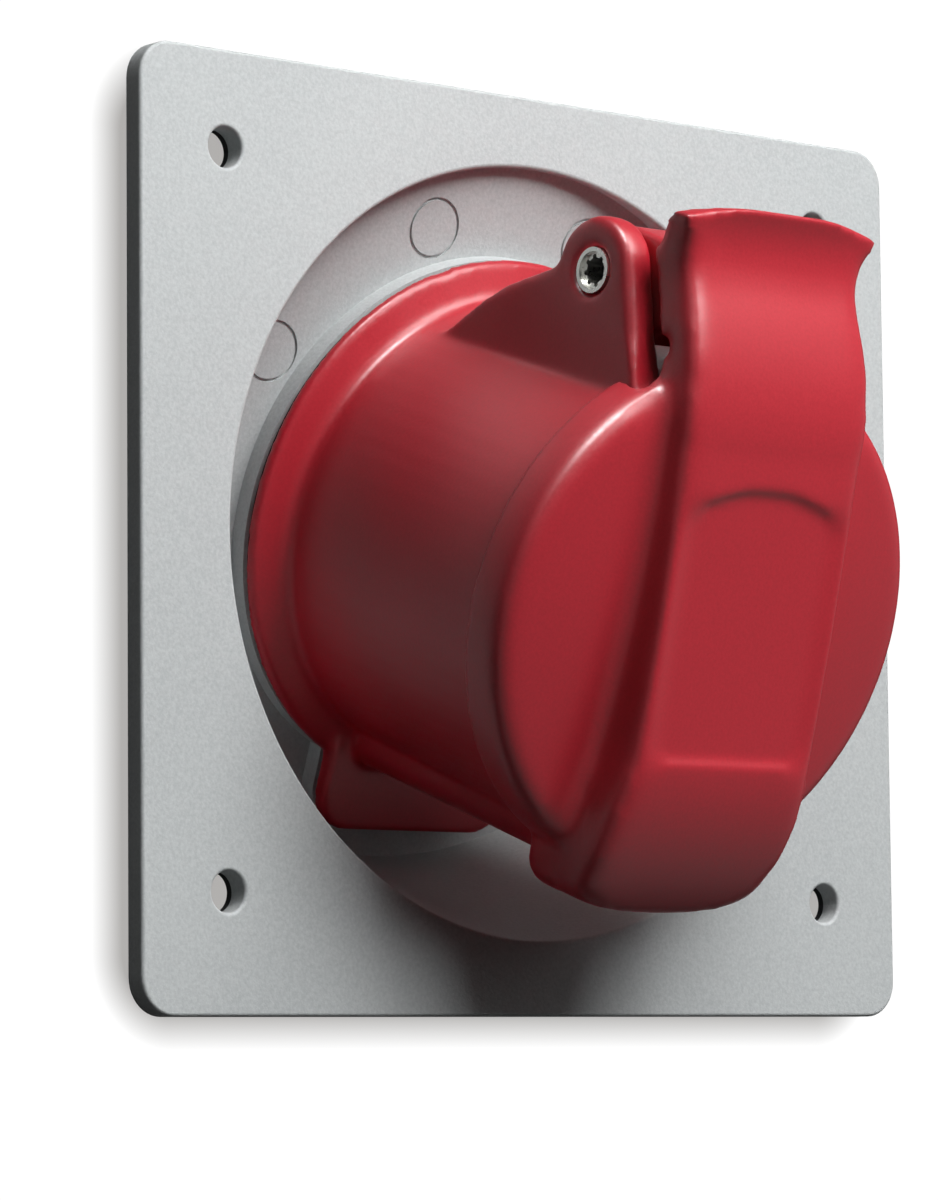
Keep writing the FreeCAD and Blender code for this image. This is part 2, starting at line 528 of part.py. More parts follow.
sk = sketch(LID, "lid_bore_outline", "XZ_Plane")
poly(sk, [("0", "skirt - 1"), ("lid_bore_rad", "skirt - 1"), ("lid_bore_rad", "lid_ceiling"),
          ("lid_gasket_out", "lid_ceiling"), ("lid_gasket_out", "lid_groove_top"),
          ("lid_gasket_in", "lid_groove_top"), ("lid_gasket_in", "lid_ceiling"),
          ("0", "lid_ceiling")])
turn(LID, "lid_bore", sk, cut=True)
sk = sketch(LID, "catch_outline", "YZ_Plane")
poly(sk, [("catch_up - catch_long", "lid_ceiling + 0.5"), ("catch_up", "lid_ceiling + 0.5"),
          ("catch_up", "lid_ceiling - catch_deep"),
          ("catch_up - 0.3*catch_long", "lid_ceiling - catch_deep")])
pad(LID, "catch", sk, "2*catch_half", both=True)
sk = sketch(LID, "chin_bore_outline", "XY_Plane", "skirt - 1")
round_box(sk, "-keyway_half - 0.7", "-keyway_low - 0.7", "keyway_half + 0.7", "-lid_rad/2",
          "keyway_corner")
pocket(LID, "chin_bore", sk, "lid_ceiling - skirt + 1", reverse=True)
sk = sketch(LID, "notch_outline", "XY_Plane", "skirt - 1")
poly(sk, [("-ear_out - 0.5", "pin_up - 17"), ("ear_out + 0.5", "pin_up - 17"),
          ("ear_out + 0.5", "lid_rad + 1"), ("-ear_out - 0.5", "lid_rad + 1")])
pocket(LID, "notch", sk, "lid_ceiling - 0.6 - skirt + 1", reverse=True)
sk = sketch(LID, "coil_room_outline", "YZ_Plane")
poly(sk, [("pin_up - 7", "pin_out - 7"), ("pin_up + coil_rad + wire_rad", "pin_out - 7"),
          ("pin_up + coil_rad + wire_rad", "lid_ceiling - 3.4"),
          ("pin_up - coil_rad - wire_rad", "lid_ceiling - 3.4"),
          ("pin_up - coil_rad - wire_rad", "pin_out + 4.2"), ("pin_up - 7", "pin_out + 4.2")])
pocket(LID, "coil_space", sk, "2*coil_room", both=True)
sk = sketch(LID, "lid_pin_outline", "YZ_Plane")
circle(sk, "pin_up", "pin_out", "pin_rad + pin_gap")
pocket(LID, "lid_pin_hole", sk, "4*ear_out", both=True)

# Lid gasket
LID_GASKET = new_body("lid_gasket")
sk = sketch(LID_GASKET, "ring_outline", "XY_Plane", "rim")
circle(sk, "0", "0", "lid_gasket_out")
circle(sk, "0", "0", "lid_gasket_in")
pad(LID_GASKET, "gasket_ring", sk, "lid_groove_top - rim")

# Hinge pin: hollow, with small teeth inside each mouth
PIN = new_body("hinge_pin")
PIN_HALF = "(ear_out - pin_seat_deep + 0.35)"
sk = sketch(PIN, "pin_outline", "YZ_Plane")
circle(sk, "pin_up", "pin_out", "pin_rad")
circle(sk, "pin_up", "pin_out", "pin_bore_rad")
pad(PIN, "tube", sk, "2*" + PIN_HALF, both=True)
for side, lift in (("right", PIN_HALF), ("left", "-" + PIN_HALF)):
    sk = sketch(PIN, "mouth_outline_" + side, "YZ_Plane", lift)
    circle(sk, "pin_up", "pin_out", "pin_mouth_rad")
    pocket(PIN, "mouth_" + side, sk, "pin_mouth_deep", reverse=side == "left")
sk = sketch(PIN, "flute_outline", "YZ_Plane")
for k in range(8):
    circle(sk, "pin_up + (pin_bore_rad + 0.1)*cos(%.1f)" % (45 * k + 22.5),
           "pin_out + (pin_bore_rad + 0.1)*sin(%.1f)" % (45 * k + 22.5), "0.28")
pocket(PIN, "flutes", sk, "4*ear_out", both=True)

# Lid spring: coil round the pin and two legs
SPRING = new_body("lid_spring")
sk = sketch(SPRING, "wire_outline", "XY_Plane", "pin_out")
sk.AttachmentOffset = FreeCAD.Placement(
    FreeCAD.Vector(0, num("pin_up"), num("pin_out")), FreeCAD.Rotation())
sk.setExpression("AttachmentOffset.Base.y", link("pin_up"))
circle(sk, "-coil_half", "-coil_rad", "wire_rad")
DOC.recompute()
coil = SPRING.newObject("PartDesign::AdditiveHelix", "coil")
coil.Profile = sk
coil.ReferenceAxis = (sk, ["H_Axis"])
coil.Mode = 0
coil.LeftHanded = True
coil.Pitch = num("coil_pitch")
coil.Height = num("2*coil_half")
coil.setExpression("Pitch", link("coil_pitch"))
coil.setExpression("Height", link("2*coil_half"))
sk = sketch(SPRING, "rear_leg_outline", "XY_Plane", "pin_out")
circle(sk, "-coil_half", "pin_up - coil_rad", "wire_rad")
pad(SPRING, "rear_leg", sk, "rib_reach - 0.5", reverse=True)
sk = sketch(SPRING, "front_leg_outline", "XY_Plane", "pin_out")
circle(sk, "coil_half", "pin_up - coil_rad", "wire_rad")
pad(SPRING, "front_leg", sk, "lid_ceiling - 3.8 - pin_out")

# Contacts sit on a circle: earth at the bottom, three poles at the sides and top
POLES = [("sleeve_l1", "-pole_circle", "0"), ("sleeve_l2", "0", "pole_circle"),
         ("sleeve_l3", "pole_circle", "0"), ("sleeve_earth", "0", "-pole_circle")]
INSERT_BACK_FACE = "(rim - bore_depth - web_wall - lug_long)"


def pole_words(label):
    """Radius, bore, front end, collar and stud of one contact."""
    if label == "sleeve_earth":
        return ("earth_rad", "earth_bore_rad", "earth_front", "earth_collar_rad",
                "earth_stud_rad")
    return "sleeve_rad", "sleeve_bore_rad", "sleeve_front", "collar_rad", "stud_rad"


# Insert: the front block that carries the contacts
INSERT = new_body("insert_front")
sk = sketch(INSERT, "block_outline", "XZ_Plane")
poly(sk, [("0", INSERT_BACK_FACE), ("hub_rad", INSERT_BACK_FACE),
          ("hub_rad", WEB_BACK + " - insert_rim_thick"),
          ("insert_rim_rad", WEB_BACK + " - insert_rim_thick"), ("insert_rim_rad", WEB_BACK),
          ("insert_rad", WEB_BACK), ("insert_rad", "insert_front - 1"),
          ("insert_rad - 1", "insert_front"), ("0", "insert_front")])
turn(INSERT, "block", sk)
sk = sketch(INSERT, "rim_notch_outline", "XY_Plane", WEB_BACK)
for sx in ("-", ""):
    circle(sk, sx + "lug_at", "0", "lug_rad + lug_gap")
pocket(INSERT, "rim_notches", sk, "lug_long + 1")
for label, x, y in POLES:
    rad, bore, front, collar, stud = pole_words(label)
    tag = label[7:]
    sk = sketch(INSERT, "mouth_outline_" + tag, "XY_Plane", "insert_front + 1")
    circle(sk, x, y, bore + " + mouth_gap")
    pocket(INSERT, "mouth_" + tag, sk)
    sk = sketch(INSERT, "room_outline_" + tag, "XY_Plane", front)
    circle(sk, x, y, rad + " + clip_room")
    pocket(INSERT, "room_" + tag, sk, front + " - room_end")
    sk = sketch(INSERT, "way_outline_" + tag, "XY_Plane", INSERT_BACK_FACE + " - 1")
    circle(sk, x, y, rad + " + hole_room")
    pocket(INSERT, "way_" + tag, sk, "room_end + 2 - " + INSERT_BACK_FACE, reverse=True)
    sk = sketch(INSERT, "collar_seat_outline_" + tag, "XY_Plane", INSERT_BACK_FACE)
    circle(sk, x, y, collar + " + hole_room")
    pocket(INSERT, "collar_seat_" + tag, sk, "collar_thick", reverse=True)

# Back plate of the insert
BACK = new_body("insert_back")
sk = sketch(BACK, "back_outline", "XY_Plane", INSERT_BACK_FACE)
circle(sk, "0", "0", "back_rad")
for sx in ("-", ""):
    circle(sk, sx + "lug_at", "0", "back_screw_rad + 0.15")
for label, x, y in POLES:
    circle(sk, x, y, pole_words(label)[4] + " + hole_room")
pad(BACK, "back", sk, "back_thick", reverse=True)
sk = sketch(BACK, "barrier_outline", "XY_Plane", INSERT_BACK_FACE + " - back_thick")
for cx, cy in ((1, 1), (1, -1), (-1, 1), (-1, -1)):
    a, b = "%d*(stud_rad*0.45)" % cx, "%d*(stud_rad*0.45)" % cy
    c, d = "%d*(pole_circle*1.15)" % cx, "%d*(pole_circle*1.15)" % cy
    poly(sk, [(a, "%d*(stud_rad*0.2)" % cy), (c, d + " - %d*0.8" % cy),
              (c + " - %d*0.8" % cx, d), ("%d*(stud_rad*0.2)" % cx, b)])
pad(BACK, "barriers", sk, "stud_long - back_thick - 1", reverse=True)

# Contact sleeves with their wire studs
for label, x, y in POLES:
    rad, bore, front, collar, stud = pole_words(label)
    body = new_body(label)
    sk = sketch(body, "tube_outline", "XY_Plane", INSERT_BACK_FACE)
    circle(sk, x, y, rad)
    pad(body, "tube", sk, front + " - 0.2 - " + INSERT_BACK_FACE)
    sk = sketch(body, "collar_outline", "XY_Plane", INSERT_BACK_FACE)
    circle(sk, x, y, collar)
    pad(body, "collar", sk, "collar_thick")
    sk = sketch(body, "stud_outline", "XY_Plane", INSERT_BACK_FACE)
    circle(sk, x, y, stud)
    pad(body, "stud", sk, "stud_long", reverse=True)
    sk = sketch(body, "bore_outline", "XY_Plane", front + " - 0.2")
    circle(sk, x, y, bore)
    pocket(body, "bore", sk, "sleeve_bore_deep")
    sk = sketch(body, "slot_outline", "XY_Plane", front + " - 0.2")
    if x == "0":
        box = [("-slot_wide/2", y + " - 6"), ("slot_wide/2", y + " - 6"),
               ("slot_wide/2", y + " + 6"), ("-slot_wide/2", y + " + 6")]
    else:
        box = [(x + " - slot_wide/2", "-6"), (x + " + slot_wide/2", "-6"),
               (x + " + slot_wide/2", "6"), (x + " - slot_wide/2", "6")]
    poly(sk, box)
    pocket(body, "slot", sk, "slot_long")
    sk = sketch(body, "wire_hole_outline", "XY_Plane", INSERT_BACK_FACE + " - stud_long")
    circle(sk, x, y, "wire_hole_rad")
    pocket(body, "wire_hole", sk, "wire_hole_deep", reverse=True)
    plane, lift, spot = ("YZ_Plane", x, ("0",)) if y == "0" else ("XZ_Plane", "-" + y
                         if y[0] != "-" else y[1:], ("0",))
    sk = sketch(body, "screw_hole_outline", plane, lift)
    circle(sk, "0", INSERT_BACK_FACE + " - stud_long + clamp_at", "clamp_screw_rad")
    outward = (y == "0" and x[0] != "-") or (y != "0" and y[0] == "-")
    pocket(body, "screw_hole", sk, "2*stud_rad", reverse=outward)

# Spring clips round the slotted ends of the sleeves
CLIPS = []
for label, x, y in POLES:
    rad = pole_words(label)[0]
    body = new_body("clip_" + label[7:])
    sk = sketch(body, "clip_outline", "XY_Plane", "clip_at")
    circle(sk, x, y, rad + " + clip_wall")
    circle(sk, x, y, rad)
    pad(body, "clip_ring", sk, "clip_long")
    sk = sketch(body, "clip_gap_outline", "XY_Plane", "clip_at + clip_long + 1")
    poly(sk, [(x if x != "0" else "-slot_wide", "%s + %s*0.5" % (y, rad)),
              (x + " + 2*slot_wide" if x != "0" else "slot_wide", "%s + %s*0.5" % (y, rad)),
              (x + " + 2*slot_wide" if x != "0" else "slot_wide", "%s + %s*2" % (y, rad)),
              (x if x != "0" else "-slot_wide", "%s + %s*2" % (y, rad))])
    pocket(body, "clip_gap", sk, "clip_long + 2")
    CLIPS.append(body)

# Screws that clamp the wires
CLAMPS = []
for label, x, y in POLES:
    stud = pole_words(label)[4]
    body = new_body("clamp_" + label[7:])
    plane = "YZ_Plane" if y == "0" else "XZ_Plane"
    sign = "-" if x[0] == "-" or (y != "0" and y[0] != "-") else ""
    face = "(pole_circle + %s)" % stud
    outward = sign == ""
    sk = sketch(body, "shank_outline", plane, sign + face)
    circle(sk, "0", INSERT_BACK_FACE + " - stud_long + clamp_at", "clamp_screw_rad")
    pad(body, "shank", sk, "clamp_screw_long", reverse=outward)
    sk = sketch(body, "head_outline", plane, sign + face)
    circle(sk, "0", INSERT_BACK_FACE + " - stud_long + clamp_at", "clamp_head_rad")
    pad(body, "head", sk, "clamp_head_thick", reverse=not outward)
    sk = sketch(body, "drive_outline", plane, sign + "(" + face + " + clamp_head_thick)")
    poly(sk, [("-5", INSERT_BACK_FACE + " - stud_long + clamp_at - slot_narrow/2"),
              ("5", INSERT_BACK_FACE + " - stud_long + clamp_at - slot_narrow/2"),
              ("5", INSERT_BACK_FACE + " - stud_long + clamp_at + slot_narrow/2"),
              ("-5", INSERT_BACK_FACE + " - stud_long + clamp_at + slot_narrow/2")])
    pocket(body, "drive", sk, "slot_deep", reverse=not outward)
    CLAMPS.append(body)

# Screws that hold the back plate on the lugs
BACK_SCREWS = []
for side, sx in (("left", "-"), ("right", "")):
    body = new_body("back_screw_" + side)
    base = INSERT_BACK_FACE + " - back_thick"
    sk = sketch(body, "shank_outline", "XY_Plane", base)
    circle(sk, sx + "lug_at", "0", "back_screw_rad")
    pad(body, "shank", sk, "back_screw_long + back_thick - 0.5")
    sk = sketch(body, "head_outline", "XY_Plane", base)
    circle(sk, sx + "lug_at", "0", "back_head_rad")
    pad(body, "head", sk, "back_head_thick", reverse=True)
    sk = sketch(body, "drive_outline", "XY_Plane", base + " - back_head_thick")
    for wide, high in (("2", "0.35"), ("0.35", "2")):
        poly(sk, [("%slug_at - %s" % (sx, wide), "-" + high),
                  ("%slug_at + %s" % (sx, wide), "-" + high),
                  ("%slug_at + %s" % (sx, wide), high),
                  ("%slug_at - %s" % (sx, wide), high)])
        if wide == "2":
            pocket(body, "drive_wide", sk, "slot_deep", reverse=True)
            sk = sketch(body, "drive_outline_high", "XY_Plane", base + " - back_head_thick")
    pocket(body, "drive_high", sk, "slot_deep", reverse=True)
    BACK_SCREWS.append(body)


# Equal pieces that share one name are kept as separate solids of one group
def group(label, bodies):
    item = DOC.addObject("Part::Compound", label)
    item.Label = label
    item.Links = bodies
    return item


DOC.recompute()
PHASE_CLIPS = group("phase_clips", CLIPS[:3])
CLIPS[3].Label = "earth_clip"
CLAMP_GROUP = group("clamp_screws", CLAMPS)
BACK_GROUP = group("back_screws", BACK_SCREWS)
DOC.recompute()

# Check and write
NODES = [FLANGE, GASKET, SHELL, SEAL, NUT, LID, LID_GASKET, PIN, SPRING, INSERT, BACK]
NODES += [DOC.getObject(label) for label, _, _ in POLES]
NODES += [PHASE_CLIPS, CLIPS[3], CLAMP_GROUP, BACK_GROUP]
os.makedirs("parts", exist_ok=True)
faults = [item.Label for item in DOC.Objects
          if "Invalid" in item.State or "Error" in item.State]
for item in NODES:
    shape = item.Shape
    if shape.isNull() or not shape.isValid() or shape.Volume <= 0:
        faults.append(item.Label)
if faults:
    raise RuntimeError("These need mending: " + ", ".join(faults))
for item in NODES:
    item.Shape.exportStep("parts/%s.step" % item.Label)
    print("%-16s %9.1f mm3 %d solid(s)" % (item.Label, item.Shape.Volume,
                                            len(item.Shape.Solids)))
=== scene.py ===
# %% [markdown]
# # Angled panel socket
# The socket is a square grey flange with a round, tilted recess. A red barrel stands in the
# recess and a sprung red lid closes it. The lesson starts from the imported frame, whose pieces
# already lie at their real size and place, and gives them their looks.

# %% Load the frame
import json
import math

import bpy
from mathutils import Matrix, Vector


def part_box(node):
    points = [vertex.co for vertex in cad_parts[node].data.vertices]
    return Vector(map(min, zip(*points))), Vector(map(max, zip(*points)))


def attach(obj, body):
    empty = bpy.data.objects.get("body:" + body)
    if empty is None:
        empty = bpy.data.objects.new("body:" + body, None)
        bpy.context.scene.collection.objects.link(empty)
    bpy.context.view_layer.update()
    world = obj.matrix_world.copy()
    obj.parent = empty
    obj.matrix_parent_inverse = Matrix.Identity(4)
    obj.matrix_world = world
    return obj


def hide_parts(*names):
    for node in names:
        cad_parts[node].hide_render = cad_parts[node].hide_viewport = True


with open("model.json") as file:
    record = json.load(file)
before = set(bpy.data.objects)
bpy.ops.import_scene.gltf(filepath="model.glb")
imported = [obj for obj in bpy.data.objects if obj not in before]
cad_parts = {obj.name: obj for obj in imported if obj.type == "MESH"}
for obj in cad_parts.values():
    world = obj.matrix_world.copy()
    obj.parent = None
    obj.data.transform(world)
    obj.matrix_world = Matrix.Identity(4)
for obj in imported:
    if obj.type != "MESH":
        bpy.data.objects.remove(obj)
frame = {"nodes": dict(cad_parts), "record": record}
NODES = frame["nodes"]
SLOTS = {row["node"]: row["material_slot"] for row in frame["record"]["subparts"]}
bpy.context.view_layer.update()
MM = 0.001
print("pieces in the frame:", len(NODES))

# %% [markdown]
# ## The camera
# The photograph looks at the socket from its left, a little from below. A long lens keeps the
# square flange nearly parallel. Blender's camera looks along its own -Z, so its matrix holds
# three directions: right, up and back.

# %% Camera
PHOTO_HIGH = 1200
SENSOR = 36.0
FOCAL_PIXELS = 4869.0
CAMERA_SPOT = Vector((-346.2, -397.6, -56.5)) * MM
CAMERA_TURN = Vector((-0.0948, 0.0250, 0.7049))
CLIP_START = 10 * MM


def camera_axes(turn):
    """Right, up and back of a camera that was turned from looking along +Y."""
    spin = Matrix.Rotation(turn.length, 3, turn.normalized())
    to_camera = Matrix(((1, 0, 0), (0, 0, -1), (0, 1, 0))) @ spin
    return to_camera[0].copy(), -to_camera[1], -to_camera[2]


camera_data = bpy.data.cameras.new("photo_camera")
camera = bpy.data.objects.new("photo_camera", camera_data)
bpy.context.collection.objects.link(camera)
right, up, back = camera_axes(CAMERA_TURN)
camera.matrix_world = Matrix((
    (right.x, up.x, back.x, CAMERA_SPOT.x),
    (right.y, up.y, back.y, CAMERA_SPOT.y),
    (right.z, up.z, back.z, CAMERA_SPOT.z),
    (0, 0, 0, 1)))
camera_data.sensor_width = SENSOR
camera_data.lens = FOCAL_PIXELS * SENSOR / PHOTO_HIGH
camera_data.clip_start = CLIP_START
bpy.context.scene.camera = camera
print("camera looks along", [round(-part, 3) for part in back])

# %% [markdown]
# ## The wall
# A panel socket hangs on a panel, so a pale wall with a cut-out behind the flange takes its
# place. A plane would need a hole cut in it. A circle of edges that is extruded and scaled up
# gives the same sheet with its hole from the start. The wall is stage and no part of the socket.

# %% Wall
CUT_OUT = 45.5 * MM
WALL_REACH = 1.5
plate_low, plate_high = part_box("flange")
PLATE_MIDDLE = (plate_high.z + plate_low.z) / 2


def only(*pieces):
    """Select these pieces and nothing else, and make the first one active."""
    bpy.ops.object.select_all(action="DESELECT")
    for piece in pieces:
        piece.select_set(True)
    bpy.context.view_layer.objects.active = pieces[0]


bpy.ops.object.select_all(action="DESELECT")
bpy.ops.mesh.primitive_circle_add(vertices=96, radius=CUT_OUT, fill_type="NOTHING",
                                  rotation=(math.pi / 2, 0, 0))
wall = bpy.context.object
wall.name = "wall"
bpy.ops.object.mode_set(mode="EDIT")
bpy.ops.mesh.extrude_region_move()
bpy.ops.transform.resize(value=(WALL_REACH / CUT_OUT,) * 3)
bpy.ops.object.mode_set(mode="OBJECT")
wall.location.z = PLATE_MIDDLE
bpy.ops.object.transform_apply(location=True, rotation=True, scale=True)
print("the wall reaches", WALL_REACH, "m from its cut-out's middle")

# %% [markdown]
# ## The lamps
# One large soft lamp hangs above and in front: it lights the plate and leaves the recess dark
# below the barrel. A weak one stands to the right, and one behind shows the wiring side. The
# gleam is seen only as a soft reflection in the plastic, so its plain light is switched off.

# %% Lamps
def lamp(name, spot, size, watts):
    """A square soft lamp at a spot, turned to the socket at the origin."""
    data = bpy.data.lights.new(name, "AREA")
    data.size = size
    data.energy = watts
    made = bpy.data.objects.new(name, data)
    bpy.context.collection.objects.link(made)
    made.location = spot
    made.rotation_euler = (-Vector(spot)).to_track_quat("-Z", "Y").to_euler()
    return made


lamp("top", spot=(0.06, -0.38, 0.36), size=0.34, watts=4.7)
lamp("side", spot=(0.50, -0.80, 0.30), size=0.35, watts=0.35)
lamp("back", spot=(-0.35, 0.50, 0.30), size=0.40, watts=7)
gleam = lamp("gleam", spot=(-0.22, -0.20, 0.50), size=0.22, watts=7)
gleam.visible_diffuse = False
print("lamps:", len(bpy.data.lights))

# %% [markdown]
# ## The world
# The world is all that the lamps and the wall don't cover. It adds hardly any light of its own,
# because the shade in the recess would go. Reflections find it bright, as in a light studio, so
# metal reads as metal, and the camera sees the white of the page.

# %% World
PLAIN_LIGHT = 0.008
SEEN_IN_GLOSS = 0.6
SEEN_BY_CAMERA = 1.0
WHITE = (1, 1, 1)

world = bpy.data.worlds.new("world")
bpy.context.scene.world = world
world.use_nodes = True
bpy.context.scene.view_settings.view_transform = "Standard"
sky = world.node_tree
sky.nodes.clear()
rays = sky.nodes.new("ShaderNodeLightPath")


def white_sky(strength):
    """An even white sky."""
    made = sky.nodes.new("ShaderNodeBackground")
    made.inputs["Color"].default_value = (*WHITE, 1)
    made.inputs["Strength"].default_value = strength
    return made.outputs[0]


def for_rays(kind, other_rays, these_rays):
    """One sky for a kind of ray, and another one for all others."""
    made = sky.nodes.new("ShaderNodeMixShader")
    for place, source in enumerate((rays.outputs[kind], other_rays, these_rays)):
        sky.links.new(source, made.inputs[place])
    return made.outputs[0]


unseen = for_rays("Is Glossy Ray", white_sky(PLAIN_LIGHT), white_sky(SEEN_IN_GLOSS))
whole = for_rays("Is Camera Ray", unseen, white_sky(SEEN_BY_CAMERA))
sky.links.new(whole, sky.nodes.new("ShaderNodeOutputWorld").inputs["Surface"])
print("the world has", len(sky.nodes), "nodes")

# %% [markdown]
# ## Writing materials
# A material is a web of nodes. Written by hand it is hard to read, so a small class wraps each
# socket and lets Python's own signs add the Math nodes: `1 - mask * 0.5` reads as it works.

# %% Shader maths
class Flow:
    """One value or colour on its way through a material."""

    def __init__(self, tree, socket):
        self.tree = tree
        self.socket = socket

    def maths(self, operation, first, second=0):
        """A Math node on two values, each a flow or a plain number."""
        node = self.tree.nodes.new("ShaderNodeMath")
        node.operation = operation
        for place, value in enumerate((first, second)):
            if isinstance(value, Flow):
                self.tree.links.new(value.socket, node.inputs[place])
            else:
                node.inputs[place].default_value = value
        return Flow(self.tree, node.outputs[0])

    def __add__(self, other):
        return self.maths("ADD", self, other)

    def __radd__(self, other):
        return self.maths("ADD", other, self)

    def __sub__(self, other):
        return self.maths("SUBTRACT", self, other)

    def __rsub__(self, other):
        return self.maths("SUBTRACT", other, self)

    def __mul__(self, other):
        return self.maths("MULTIPLY", self, other)

    def __rmul__(self, other):
        return self.maths("MULTIPLY", other, self)

    def __abs__(self):
        return self.maths("ABSOLUTE", self)

    def at_least(self, level):
        """The value, or the level where the value is lower."""
        return self.maths("MAXIMUM", self, level)

    def root(self):
        """The square root."""
        return self.maths("SQRT", self)


# %% [markdown]
# A second class holds one material. Its `node` method takes a node's type, then its settings,
# then the values or links of its sockets, and the other methods are the few patterns that the
# socket's finishes share.

# %% Finish
class Finish:
    """A material that is put together from nodes."""

    MIX_MASK, MIX_FIRST, MIX_SECOND, MIX_COLOUR = 0, 6, 7, 2

    def __init__(self, name):
        self.material = bpy.data.materials.new(name)
        self.material.use_nodes = True
        self.tree = self.material.node_tree
        self.tree.nodes.clear()
        self.place = self.node("ShaderNodeTexCoord", output="Object")

    def node(self, kind, settings=None, inputs=None, output=0):
        """Add a node: its settings first, then its sockets' values or links."""
        made = self.tree.nodes.new(kind)
        for key, value in (settings or {}).items():
            setattr(made, key, value)
        for key, value in (inputs or {}).items():
            if isinstance(value, Flow):
                self.tree.links.new(value.socket, made.inputs[key])
            else:
                made.inputs[key].default_value = value
        return Flow(self.tree, made.outputs[output]) if made.outputs else None

    def noise(self, scale, detail, rough=0.5):
        """A cloud pattern with about this many spots per metre."""
        return self.node("ShaderNodeTexNoise", inputs={
            "Vector": self.place, "Scale": scale, "Detail": detail, "Roughness": rough})

    def blend(self, mask, first, second):
        """The first colour where the mask is 0 and the second where it is 1."""
        return self.node("ShaderNodeMix", settings={"data_type": "RGBA"}, inputs={
            self.MIX_MASK: mask, self.MIX_FIRST: (*first, 1), self.MIX_SECOND: (*second, 1)},
            output=self.MIX_COLOUR)

    def spread(self, value, low, high, to_low=0.0, to_high=1.0):
        """Carry the range low to high onto another one, with its ends held."""
        return self.node("ShaderNodeMapRange", inputs={
            "Value": value, "From Min": low, "From Max": high,
            "To Min": to_low, "To Max": to_high})

    def bump(self, height, depth, strength):
        """Relief from a height of 0 to 1, as deep as said in metres."""
        return self.node("ShaderNodeBump", inputs={
            "Height": height, "Distance": depth, "Strength": strength})

    def surface(self, **inputs):
        """The shader itself, with the constants on its own sockets."""
        names = {key.replace("_", " ").title().replace("Ior", "IOR"): value
                 for key, value in inputs.items()}
        shader = self.node("ShaderNodeBsdfPrincipled", inputs=names)
        self.node("ShaderNodeOutputMaterial", inputs={"Surface": shader})
        return self.material


# %% [markdown]
# ## The wall's material
# The camera sees the wall as the white of the page, with a painted shadow: a soft grey that is
# painted along the plate's left and lower edges, where the plate would shade its wall a little,
# and behind the plate, where it shows through the screw holes. No lamp casts it. A rounded
# rectangle that is shifted from the plate gives that painted shadow: its distance is 0 on its
# edge and grows outwards. For all other rays the wall is a dull surface, and from behind it is
# clear, so that the wiring side stays in view.

# %% Painted shadow on the wall
# The painted shadow: how far it is shifted left and down, its corners, its soft edge and its
# grey
SHADE_LEFT, SHADE_DOWN, SHADE_CORNER = 2.0 * MM, 1.4 * MM, 8 * MM
SHADE_STARTS, SHADE_ENDS = -1.8 * MM, 2.2 * MM
SHADE_COLOUR = (0.42, 0.41, 0.40)
PLATE_HALF_WIDE = (plate_high.x - plate_low.x) / 2
PLATE_HALF_HIGH = (plate_high.z - plate_low.z) / 2

paper = Finish("wall_paper")
across_wall = paper.node("ShaderNodeSeparateXYZ", inputs={"Vector": paper.place}, output="X")
up_wall = paper.node("ShaderNodeSeparateXYZ", inputs={"Vector": paper.place}, output="Z")
from_side = abs(across_wall + SHADE_LEFT) - (PLATE_HALF_WIDE - SHADE_CORNER)
from_end = abs(up_wall - PLATE_MIDDLE + SHADE_DOWN) - (PLATE_HALF_HIGH - SHADE_CORNER)
past_side, past_end = from_side.at_least(0), from_end.at_least(0)
beyond = (past_side * past_side + past_end * past_end).root() - SHADE_CORNER
# Painted shadow: grey near the plate's left and lower edges and behind the plate, white further
# out
page = paper.blend(paper.spread(beyond, SHADE_STARTS, SHADE_ENDS), SHADE_COLOUR, WHITE)
print("the shade is", round((SHADE_ENDS - SHADE_STARTS) / MM, 1), "mm wide")

# %% Wall material
PAGE_STRENGTH = 1.05
WALL_GREY = (0.12, 0.12, 0.12, 1)

# The camera sees the page's white with the painted shadow as an emission; no lamp lights or
# shades it
page_with_painted_shadow = paper.node("ShaderNodeEmission", inputs={"Color": page, "Strength": PAGE_STRENGTH})
dull = paper.node("ShaderNodeBsdfDiffuse", inputs={"Color": WALL_GREY})
camera_ray = paper.node("ShaderNodeLightPath", output="Is Camera Ray")
seen = paper.node("ShaderNodeMixShader", inputs={0: camera_ray, 1: dull, 2: page_with_painted_shadow})
clear = paper.node("ShaderNodeBsdfTransparent")
behind = paper.node("ShaderNodeNewGeometry", output="Backfacing")
both = paper.node("ShaderNodeMixShader", inputs={0: behind, 1: seen, 2: clear})
paper.node("ShaderNodeOutputMaterial", inputs={"Surface": both})
wall.data.materials.append(paper.material)
print("the wall's material has", len(paper.tree.nodes), "nodes")

# %% [markdown]
# ## Rounded mouldings
# Nothing that comes out of a mould has a knife edge: outer corners are a little round and inner
# ones run together softly, and both show as fine lines of light. A bevel breaks on the many thin
# triangles of a CAD mesh. A voxel remesh lays an even net over a merged copy instead, a few
# rounds of smoothing pull its edges round, and a decimate takes out faces that flat walls
# don't need.

# %% A moulding
MERGE = 0.002 * MM
PULL = 0.5


